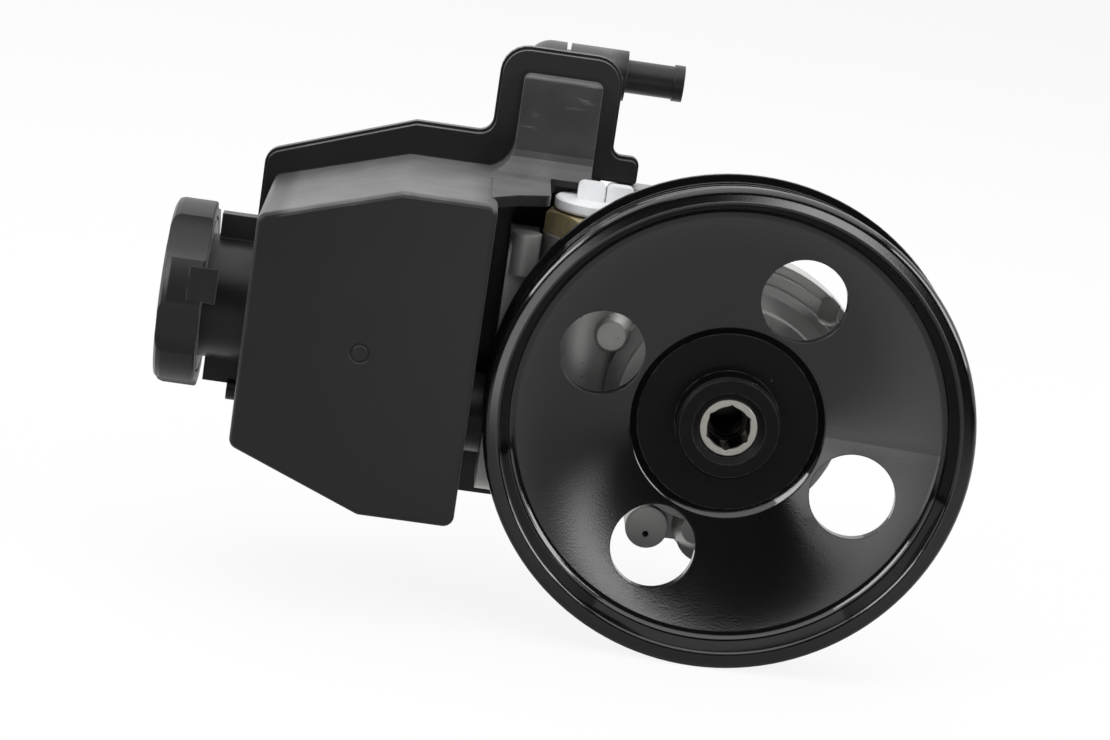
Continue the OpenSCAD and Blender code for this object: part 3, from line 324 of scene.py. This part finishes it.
def blackened_steel(f, looks):
    """Black phosphated steel with faint turning rings and a few chips."""
    radius = f.from_shaft()
    rings = f.rings(radius, 0.5 * MM, detail=2.0)
    cloud = f.noise(6 * MM, detail=3.0)
    wear = f.edge_mask(0.4 * MM) * f.patches(2 * MM, 0.3, 0.6)
    band = f.step(radius, *CHIPS_INNER) * f.step(radius, *CHIPS_OUTER)
    chips = f.patches(1.1 * MM, 0.70, 0.74) * band * f.step(f.along("Z"), *CHIPS_ABOVE)
    base = f.tones(cloud, looks.hub_colour, 0.7, 1.4)
    colour = f.mix(wear * 0.5 + chips, base, WORN_HUB)
    normal = f.bump(rings + cloud * 0.5, 0.03 * MM, 0.5, f.soft_edge(0.4 * MM))
    return f.surface(colour, 0.34 + cloud * 0.12, normal, **{"Specular IOR Level": 0.15})


def turned_steel(f, looks):
    """Bare turned steel with rings on its end, and painted shade inside the socket's rim."""
    radius = f.from_shaft()
    rings = f.rings(radius, 0.3 * MM, detail=3.0)
    stain = f.noise(4 * MM, detail=4.0)
    bright = f.tones(stain, looks.steel_colour, 0.75, 1.1)
    # Painted shade: the shaft's end is painted dark inside the socket's rim
    rim = f.step(radius, looks.socket_shade_rim - SOCKET_SHADE_FADE, looks.socket_shade_rim)
    colour = f.mix(rim, shade(looks.steel_colour, 0.07), bright)
    normal = f.bump(rings, 0.02 * MM, 0.5, f.soft_edge(0.3 * MM))
    return f.surface(colour, 0.28 + stain * 0.15, normal, metallic=1.0)


def cast_alloy(f, looks):
    """Bare die-cast aluminium: granular skin, grey bloom, painted light on its nose and painted shade in
    its hollows.
    """
    skin = f.noise(0.9 * MM, detail=3.0)
    bloom = f.noise(9 * MM, detail=4.0)
    pits = f.patches(1.6 * MM, 0.7, 0.78, detail=2.0)
    # Painted shade: the casting is painted darker in its hollows, where less light reaches
    painted_shade_ao = f.add("ShaderNodeAmbientOcclusion", {"samples": 6}, {"Distance": 6 * MM}, out="AO")
    bloomed = f.tones(bloom, looks.alloy_colour, 0.72, 1.1)
    # Painted light: the casting's front, behind the pulley, is painted lighter than its back
    lit_nose = f.step(f.along("Y"), *NOSE_PAINTED_LIGHT)
    base = f.mix(lit_nose, bloomed, shade(looks.alloy_colour, 1.4))
    hollow_shaded = f.mix(painted_shade_ao, shade(looks.alloy_colour, 0.75), base)
    colour = f.mix(pits * 0.6, hollow_shaded, shade(looks.alloy_colour, 0.3))
    normal = f.bump(skin - pits, 0.10 * MM, 0.6, f.soft_edge(0.5 * MM))
    return f.surface(colour, 0.42 + bloom * 0.2, normal, metallic=0.75)


def plain_metal(f, colour, rough, grain):
    """Machined metal with a fine grain and slight stains."""
    stain = f.noise(5 * MM, detail=3.0)
    lines = f.noise(grain, detail=2.0, stretch=(1, 0.15, 1))
    tone = f.tones(stain, colour, 0.8, 1.1)
    normal = f.bump(lines, 0.01 * MM, 0.5)
    return f.surface(tone, rough + stain * 0.12, normal, metallic=1.0)


def yellow_zinc(f, looks):
    """Yellow zinc plating, which drifts from olive to straw and dulls in patches."""
    drift = f.noise(3.5 * MM, detail=3.0)
    dull = f.patches(2.2 * MM, 0.45, 0.65)
    straw = f.tones(drift, looks.zinc_colour, 0.7, 1.3)
    colour = f.mix(dull * 0.5, straw, DULL_ZINC)
    normal = f.bump(f.noise(0.6 * MM), 0.02 * MM, 0.5, f.soft_edge(0.3 * MM))
    return f.surface(colour, 0.36 + dull * 0.2, normal, metallic=0.35)


def seal_rubber(f, looks):
    """Matt black rubber."""
    bloom = f.noise(2 * MM, detail=3.0)
    colour = f.mix(bloom, DARK_RUBBER, BLOOMED_RUBBER)
    return f.surface(colour, 0.6 + bloom * 0.2, f.bump(bloom, 0.02 * MM))


def white_nylon(f, looks):
    """White moulded plastic, a little translucent, with faint smudges."""
    smudge = f.patches(3 * MM, 0.55, 0.8)
    flow = f.noise(1.2 * MM, detail=2.0)
    colour = f.mix(smudge * 0.35, rgb(looks.plug_colour), shade(looks.plug_colour, 0.82))
    normal = f.bump(flow, 0.03 * MM, 0.4, f.soft_edge(0.4 * MM))
    return f.surface(colour, 0.38 + flow * 0.12, normal, **{
        "Subsurface Weight": 0.15, "Subsurface Radius": (2 * MM, 2 * MM, 2.2 * MM),
        "Subsurface Scale": 1.0})


def moulded_black(f, looks, grain, scuff_and_sheen_top):
    """Black moulded plastic: spark-eroded grain, polished edges, and scuffs and a painted sheen on its
    upper faces.
    """
    skin = f.noise(grain, detail=2.0)
    cloud = f.noise(18 * MM, detail=3.0)
    edge = f.edge_mask(0.6 * MM)
    facing = f.add("ShaderNodeNewGeometry", out="Normal")
    up = f.add("ShaderNodeSeparateXYZ", inputs={0: facing}, out="Z")
    streaks = f.patches(1.6 * MM, 0.6, 0.74, detail=5.0, stretch=(0.14, 1, 1))
    patch = f.patches(14 * MM, 0.4, 0.62, detail=3.0)
    x = f.along("X")
    scuffed_and_sheened_part = f.step(x, *SCUFF_SHEEN_LEFT) * f.step(x, *SCUFF_SHEEN_RIGHT)
    # Upper faces in the stretch, which take the scuffs and the painted sheen
    upper_scuff_and_sheen = f.step(up, 0.0, 0.6) * scuffed_and_sheened_part * scuff_and_sheen_top
    scuff = streaks * upper_scuff_and_sheen * (0.25 + 0.75 * patch)
    # Painted sheen: a pale haze on the upper faces, where the black plastic glances the light
    painted_sheen = upper_scuff_and_sheen * (0.28 + 0.12 * patch)
    base = f.tones(cloud, looks.tank_colour, 0.85, 1.2)
    rubbed = f.mix(edge * 0.35, base, shade(looks.tank_colour, 3.0))
    sheened = f.mix(painted_sheen, rubbed, PAINTED_TANK_SHEEN)
    colour = f.mix(scuff * 0.8, sheened, TANK_SCUFF)
    normal = f.bump(skin, 0.035 * MM, looks.grain, f.soft_edge(0.5 * MM))
    return f.surface(colour, 0.34 + cloud * 0.08 - edge * 0.06 + scuff * 0.15, normal,
                     **{"Sheen Weight": 0.22, "Sheen Roughness": 0.3})


def tank_plastic(f, looks):
    """Plastic of the tank, scuffed and with a painted sheen on top."""
    return moulded_black(f, looks, 0.55 * MM, looks.scuff)


def cap_plastic(f, looks):
    """Plastic of the cap, without scuffs or painted sheen."""
    return moulded_black(f, looks, 0.45 * MM, 0.0)


def weld_plastic(f, looks):
    """Melted black plastic: smoother and glossier than the moulded skin."""
    lumps = f.noise(1.1 * MM, detail=3.0)
    colour = f.tones(lumps, looks.tank_colour, 0.9, 1.8)
    return f.surface(colour, 0.28 + lumps * 0.14, f.bump(lumps, 0.12 * MM, 0.7))


FINISHES = {make.__name__: make for make in (
    black_enamel, blackened_steel, turned_steel, cast_alloy, yellow_zinc, seal_rubber, white_nylon,
    tank_plastic, cap_plastic, weld_plastic)}


def finish(name):
    """The named finish, made once, under a label that no material of the frame has."""
    label = f"{name}_finish"
    found = bpy.data.materials.get(label)
    if found:
        return found
    made = Finish(bpy.data.materials.new(label))
    if name in PLAIN_METALS:
        return plain_metal(made, *PLAIN_METALS[name])
    return FINISHES[name](made, bpy.context.scene.pump_looks)


class PumpLooks(bpy.types.PropertyGroup):
    """Colours and surface sizes of the pump."""

    enamel_colour: bpy.props.FloatVectorProperty(
        name="Pulley paint", description="Colour of the pulley's paint", subtype="COLOR",
        default=(0.0022, 0.0022, 0.0024), min=0, max=1)
    hub_colour: bpy.props.FloatVectorProperty(
        name="Hub", description="Colour of the blackened hub", subtype="COLOR",
        default=(0.003, 0.003, 0.0032), min=0, max=1)
    steel_colour: bpy.props.FloatVectorProperty(
        name="Shaft", description="Colour of the bare shaft end", subtype="COLOR",
        default=(0.6, 0.575, 0.53), min=0, max=1)
    # Radius inside which shade is painted on the shaft's end
    socket_shade_rim: bpy.props.FloatProperty(
        name="Socket rim", description="Radius inside which the shaft's end is dark", unit="LENGTH",
        default=6.3 * MM, min=4 * MM, max=8 * MM)
    alloy_colour: bpy.props.FloatVectorProperty(
        name="Casting", description="Colour of the cast housing", subtype="COLOR",
        default=(0.5, 0.5, 0.49), min=0, max=1)
    zinc_colour: bpy.props.FloatVectorProperty(
        name="Yellow zinc", description="Colour of the plated union", subtype="COLOR",
        default=(0.44, 0.36, 0.19), min=0, max=1)
    plug_colour: bpy.props.FloatVectorProperty(
        name="Transport plug", description="Colour of the plug in the port", subtype="COLOR",
        default=(0.82, 0.83, 0.85), min=0, max=1)
    tank_colour: bpy.props.FloatVectorProperty(
        name="Tank", description="Colour of the tank and cap", subtype="COLOR",
        default=(0.009, 0.009, 0.0094), min=0, max=1)
    peel: bpy.props.FloatProperty(
        name="Orange peel", description="Strength of the paint's orange peel", default=0.5, min=0, max=1)
    grain: bpy.props.FloatProperty(
        name="Grain", description="Strength of the plastic's grain", default=0.5, min=0, max=1)
    # Share of scuffs and of painted sheen on the tank's top
    scuff: bpy.props.FloatProperty(
        name="Scuffs", description="Share of dust and scuffs on the tank's top", default=0.8, min=0, max=1)
    bead_width: bpy.props.FloatProperty(
        name="Weld bead width", description="Width of the bead along the tank's weld", unit="LENGTH",
        default=0.7 * MM, min=0.2 * MM, max=2 * MM)
    bead_height: bpy.props.FloatProperty(
        name="Weld bead height", description="How far the weld bead stands out", unit="LENGTH",
        default=0.3 * MM, min=0.1 * MM, max=1 * MM)


class PumpStage(bpy.types.PropertyGroup):
    """Floor, light and camera."""

    floor_colour: bpy.props.FloatVectorProperty(
        name="Floor", description="Colour of the floor", subtype="COLOR",
        default=(0.9, 0.9, 0.9), min=0, max=1)
    floor_white: bpy.props.FloatProperty(
        name="White floor", description="Share of plain white in the floor, the rest takes shadow",
        default=0.88, min=0, max=1)
    room_light: bpy.props.FloatProperty(
        name="Room light", description="Level of light from all round", default=0.45, min=0, max=2)
    dark_front: bpy.props.FloatProperty(
        name="Dark front", description="Level of the room and floor far before the pump, in reflections",
        default=0.03, min=0, max=1)
    dim_floor: bpy.props.FloatProperty(
        name="Dim floor", description="Level of the floor close before the pump, in reflections",
        default=0.32, min=0, max=1)
    lens: bpy.props.FloatProperty(
        name="Lens", description="Focal length of the camera", default=107.7, min=20, max=200,
        subtype="DISTANCE_CAMERA")


def row(rows, key, wanted):
    """The row of one of the record's lists whose key holds what is wanted."""
    return next(item for item in rows if item[key] == wanted)


def deselect():
    """Leaves no object selected."""
    bpy.ops.object.select_all(action="DESELECT")


def settle(piece, name, finish_name, body):
    """Applies a new piece's place, names and finishes it, and lets it ride on its body."""
    piece.name = name
    piece.data.name = name
    bpy.ops.object.transform_apply(location=True, rotation=True, scale=True)
    piece.data.materials.clear()
    piece.data.materials.append(finish(finish_name))
    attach(piece, body)


def use_modifier(piece, kind, **settings):
    """Adds a modifier to the piece and applies it."""
    modifier = piece.modifiers.new(kind.lower(), kind)
    for key, value in settings.items():
        setattr(modifier, key, value)
    bpy.ops.object.modifier_apply(modifier=modifier.name)


def edit_points():
    """Edit mode on the active piece, with all its points selected."""
    bpy.ops.object.mode_set(mode="EDIT")
    bpy.ops.mesh.select_mode(type="VERT")
    bpy.ops.mesh.select_all(action="SELECT")


def pick_points(piece, wanted):
    """Selects the points for which wanted(point) holds, and nothing else."""
    bpy.ops.mesh.select_all(action="DESELECT")
    bpy.ops.object.mode_set(mode="OBJECT")
    for point in piece.data.vertices:
        point.select = bool(wanted(point))
    bpy.ops.object.mode_set(mode="EDIT")


def copy_of(node):
    """New piece with a merged copy of a CAD node's mesh, in edit mode with everything selected."""
    piece = bpy.data.objects.new(f"{node}_copy", frame["nodes"][node].data.copy())
    bpy.context.collection.objects.link(piece)
    deselect()
    bpy.context.view_layer.objects.active = piece
    piece.select_set(True)
    edit_points()
    bpy.ops.mesh.remove_doubles(threshold=MERGE_GAP)
    return piece


def thread(centre, axis, radius, pitch, turns, width, height):
    """Helical ridge about an axis through centre: height is negative for a thread inside a bore."""
    deselect()
    bpy.ops.mesh.primitive_plane_add(size=1, location=centre)
    piece = bpy.context.object
    along = Vector((1, 0, 0)) if axis == "X" else Vector((0, 1, 0))
    edit_points()
    bpy.ops.transform.rotate(value=math.pi / 2, orient_axis=axis, center_override=centre)
    section = along * width + Vector((0, 0, abs(height)))
    bpy.ops.transform.resize(value=section, center_override=centre)
    pick_points(piece, lambda point: point.co.z * height > 0)
    crest = Vector((1, 1, 1)) - along * (1 - THREAD_CREST)
    bpy.ops.transform.resize(value=crest, center_override=centre)
    bpy.ops.mesh.select_all(action="SELECT")
    bpy.ops.transform.translate(value=(0, 0, radius + height / 2))
    bpy.ops.object.mode_set(mode="OBJECT")
    steps = int(THREAD_STEPS * turns)
    use_modifier(piece, "SCREW", axis=axis, angle=2 * math.pi * turns, screw_offset=pitch * turns,
                 steps=steps, render_steps=steps, use_normal_calculate=True)
    edit_points()
    bpy.ops.mesh.select_all(action="DESELECT")
    bpy.ops.mesh.select_non_manifold()
    bpy.ops.mesh.fill_holes(sides=0)
    bpy.ops.mesh.select_all(action="SELECT")
    bpy.ops.mesh.normals_make_consistent(inside=False)
    bpy.ops.object.mode_set(mode="OBJECT")
    bpy.ops.object.shade_smooth_by_angle(angle=SHARP_ANGLE)
    return piece


class PUMP_OT_weld_bead(bpy.types.Operator):
    """Bead of melted plastic where the two halves of the tank are welded"""

    bl_idname = "pump.weld_bead"
    bl_label = "Weld bead"

    def execute(self, context):
        looks = context.scene.pump_looks
        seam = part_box("tank_front_shell")[1].y
        half = looks.bead_width / 2
        piece = copy_of("tank_front_shell")
        bpy.ops.mesh.bisect(plane_co=(0, seam - half, 0), plane_no=(0, 1, 0), use_fill=True,
                            clear_inner=True)
        bpy.ops.mesh.select_all(action="SELECT")
        bpy.ops.transform.translate(value=(0, half / 2, 0))
        bpy.ops.mesh.normals_make_consistent(inside=False)
        bpy.ops.transform.shrink_fatten(value=looks.bead_height)
        bpy.ops.object.mode_set(mode="OBJECT")
        settle(piece, "weld_bead", "weld_plastic", "pump_body")
        return {"FINISHED"}


class PUMP_OT_threads(bpy.types.Operator):
    """Threads of the filler neck and of the puller hole in the shaft"""

    bl_idname = "pump.threads"
    bl_label = "Threads"

    def execute(self, context):
        self.neck_thread()
        self.puller_thread()
        return {"FINISHED"}

    def neck_thread(self):
        """Coarse thread under the cap, with the lead at which the cap unscrews."""
        low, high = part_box("cap_seal")
        neck = (low + high) / 2
        radius = (high.z - low.z) / 2 - THREAD_SINK
        unscrew = row(frame["record"]["behaviour"]["couplings"], "joint", "cap_turn")
        lead = 2 * math.pi / unscrew["ratio"]
        ridge = thread((high.x + NECK_THREAD_START, neck.y, neck.z), "X", radius, lead,
                       NECK_THREAD_TURNS, NECK_THREAD_WIDTH, NECK_THREAD_HEIGHT)
        settle(ridge, "neck_thread", "cap_plastic", "pump_body")

    def puller_thread(self):
        """Fine thread in the shaft's hole."""
        hole = row(frame["record"]["mounts"], "name", "puller_thread")
        length = hole["dims"]["length_mm"] * MM
        radius = hole["dims"]["r_mm"] * MM + THREAD_SINK
        start = hole["pos_m"][1] - length / 2
        turns = int(length / PULLER_PITCH) - PULLER_FREE_TURNS
        ridge = thread((0, start + PULLER_PITCH, 0), "Y", radius, PULLER_PITCH, turns, PULLER_WIDTH,
                       -PULLER_HEIGHT)
        settle(ridge, "puller_thread_ridge", "turned_steel", "drive")


class PUMP_OT_valve_spring(bpy.types.Operator):
    """Copy of the valve spring that takes the place of the CAD node"""

    bl_idname = "pump.valve_spring"
    bl_label = "Valve spring"

    def execute(self, context):
        slide = row(frame["record"]["behaviour"]["joints"], "name", "spool_slide")
        low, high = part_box("valve_spring")
        foot = (low + high) / 2
        foot.z = slide["deforming_nodes"][0]["fixed_end_z_m"]
        piece = copy_of("valve_spring")
        bpy.ops.object.mode_set(mode="OBJECT")
        bpy.ops.object.shade_smooth_by_angle(angle=SHARP_ANGLE)
        settle(piece, "valve_spring_coil", "spring_steel", "pump_body")
        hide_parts("valve_spring")
        1 - slide["range_m"][1] / (high.z - foot.z)
        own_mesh(piece)
        return {"FINISHED"}


class PUMP_OT_node_finishes(bpy.types.Operator):
    """Gives every CAD node its finish"""

    bl_idname = "pump.node_finishes"
    bl_label = "Finish the CAD nodes"

    def execute(self, context):
        for name, nodes in NODE_FINISH.items():
            for node in nodes:
                data = frame["nodes"][node].data
                data.materials.clear()
                data.materials.append(finish(name))
        return {"FINISHED"}


class PUMP_OT_stage(bpy.types.Operator):
    """Adds the floor, the world, the soft boxes and the camera"""

    bl_idname = "pump.stage"
    bl_label = "Stage"

    def execute(self, context):
        stage = context.scene.pump_stage
        context.scene.view_settings.view_transform = "Standard"
        self.floor(stage)
        self.world(stage)
        for name, box in SOFT_BOXES.items():
            self.lamp(name, **box)
        self.camera(stage)
        return {"FINISHED"}

    def floor(self, stage):
        """White floor with a soft shadow. Reflections show it dark in front, with two bright strips."""
        deselect()
        bpy.ops.mesh.primitive_plane_add(size=FLOOR_SIZE, location=(0, 0, cad_box[0].z))
        ground = bpy.context.object
        ground.name = "floor"
        bpy.ops.object.transform_apply(location=True, rotation=True, scale=True)
        f = Finish(bpy.data.materials.new("pale_floor"))
        mirrored = f.add("ShaderNodeLightPath", out="Is Glossy Ray")
        dim = f.step(f.along("Y"), *FLOOR_DIMS) * mirrored
        dark = f.step(f.along("Y"), *FLOOR_DARKENS) * mirrored
        pale = rgb(stage.floor_colour)
        near = f.mix(dim, pale, shade(pale, stage.dim_floor))
        lit = f.add("ShaderNodeBsdfDiffuse", inputs={
            "Color": f.mix(dark, near, shade(pale, stage.dark_front))})
        white = f.add("ShaderNodeEmission", inputs={"Color": WHITE, "Strength": 1.0})
        seen = self.seen_rays(f) * (1 - dim) * stage.floor_white
        plain = f.add("ShaderNodeMixShader", inputs={0: seen, 1: lit, 2: white})
        right, left = [self.strip(f, **place) for place in GLARES]
        glare = f.add("ShaderNodeEmission", inputs={"Color": WHITE, "Strength": (right + left) * mirrored})
        whole = f.add("ShaderNodeAddShader", inputs={0: plain, 1: glare})
        f.add("ShaderNodeOutputMaterial", inputs={"Surface": whole})
        ground.data.materials.append(f.owner)

    @staticmethod
    def strip(f, centre, size, turn, blur, level):
        """Turned rectangle on the floor with blurred edges: level inside it and 0 outside."""
        x = f.along("X") - centre[0]
        y = f.along("Y") - centre[1]
        across = x * math.cos(turn) + y * math.sin(turn)
        ahead = y * math.cos(turn) - x * math.sin(turn)
        inside = []
        for value, length, soft in zip((across, ahead), size, blur):
            off = f.add("ShaderNodeMath", {"operation": "ABSOLUTE"}, {0: value})
            inside.append(f.step(off, length / 2 + soft, length / 2 - soft))
        return inside[0] * inside[1] * level

    @staticmethod
    def seen_rays(f):
        """1 for rays that show the background: straight to the camera, mirrored or through glass."""
        straight = f.add("ShaderNodeLightPath", out="Is Camera Ray")
        mirrored = f.add("ShaderNodeLightPath", out="Is Glossy Ray")
        through = f.add("ShaderNodeLightPath", out="Is Transmission Ray")
        return f.add("ShaderNodeMath", {"operation": "ADD", "use_clamp": True}, {
            0: straight + mirrored, 1: through})

    def world(self, stage):
        """White background, with a dark room behind the camera that only reflections show."""
        world = bpy.data.worlds.new("studio")
        bpy.context.scene.world = world
        f = Finish(world)
        ray = f.add("ShaderNodeTexCoord", out="Generated")
        back = f.add("ShaderNodeSeparateXYZ", inputs={0: ray}, out="Y")
        up = f.add("ShaderNodeSeparateXYZ", inputs={0: ray}, out="Z")
        straight = f.add("ShaderNodeLightPath", out="Is Camera Ray")
        behind = f.step(back, *ROOM_DARK_BEHIND)
        overhead = f.step(up, *ROOM_DARK_OVERHEAD) * ROOM_OVERHEAD_SHARE
        dark = f.add("ShaderNodeMath", {"operation": "MAXIMUM"}, {0: behind, 1: overhead})
        gloom = dark * (1 - straight)
        room = f.add("ShaderNodeBackground", inputs={"Color": WHITE, "Strength": stage.room_light})
        backdrop = f.add("ShaderNodeBackground", inputs={
            "Color": WHITE, "Strength": 1 - gloom * (1 - stage.dark_front)})
        both = f.add("ShaderNodeMixShader", inputs={0: self.seen_rays(f), 1: room, 2: backdrop})
        f.add("ShaderNodeOutputWorld", inputs={"Surface": both})

    def lamp(self, name, place, target, size, power):
        """Soft box at its place, turned to its target and hidden from the camera."""
        deselect()
        bpy.ops.object.light_add(type="AREA", location=place)
        lamp = bpy.context.object
        lamp.name = name
        lamp.data.shape = "RECTANGLE"
        lamp.data.size, lamp.data.size_y = size
        lamp.data.energy = power
        aim = Vector(target) - Vector(place)
        lamp.rotation_euler = aim.to_track_quat("-Z", "Y").to_euler()
        lamp.visible_camera = False

    def camera(self, stage):
        """Camera at the photograph's place."""
        deselect()
        bpy.ops.object.camera_add()
        camera = bpy.context.object
        ahead = Vector(CAMERA_AHEAD).normalized()
        right = ahead.cross(Vector(CAMERA_UP)).normalized()
        up = right.cross(ahead)
        turn = Matrix((right, up, -ahead)).transposed().to_4x4()
        camera.matrix_world = Matrix.Translation(CAMERA_PLACE) @ turn
        camera.data.sensor_width = CAMERA_SENSOR
        camera.data.lens = stage.lens
        camera.data.clip_start = CAMERA_NEAR
        bpy.context.scene.camera = camera


class PUMP_PT_looks(bpy.types.Panel):
    """Lists the pump's finishes and pieces"""

    bl_idname = "PUMP_PT_looks"
    bl_label = "Steering pump"
    bl_space_type = "VIEW_3D"
    bl_region_type = "UI"
    bl_category = "Pump"

    def draw(self, context):
        for operator in OPERATORS:
            self.layout.operator(operator.bl_idname)
        for group in (context.scene.pump_looks, context.scene.pump_stage):
            for name in group.__annotations__:
                self.layout.prop(group, name)


OPERATORS = (PUMP_OT_stage, PUMP_OT_node_finishes, PUMP_OT_weld_bead, PUMP_OT_threads,
             PUMP_OT_valve_spring)
CLASSES = (PumpLooks, PumpStage, *OPERATORS, PUMP_PT_looks)


def register():
    """Makes the classes and the two groups of settings known."""
    for item in CLASSES:
        bpy.utils.register_class(item)
    bpy.types.Scene.pump_looks = bpy.props.PointerProperty(type=PumpLooks)
    bpy.types.Scene.pump_stage = bpy.props.PointerProperty(type=PumpStage)


def unregister():
    """Takes the settings and the classes away again."""
    del bpy.types.Scene.pump_stage
    del bpy.types.Scene.pump_looks
    for item in reversed(CLASSES):
        bpy.utils.unregister_class(item)


def main():
    """Makes the stage, the finishes and the pieces."""
    register()
    bpy.ops.pump.stage()
    bpy.ops.pump.node_finishes()
    bpy.ops.pump.weld_bead()
    bpy.ops.pump.threads()
    bpy.ops.pump.valve_spring()


if __name__ == "__main__":
    main()
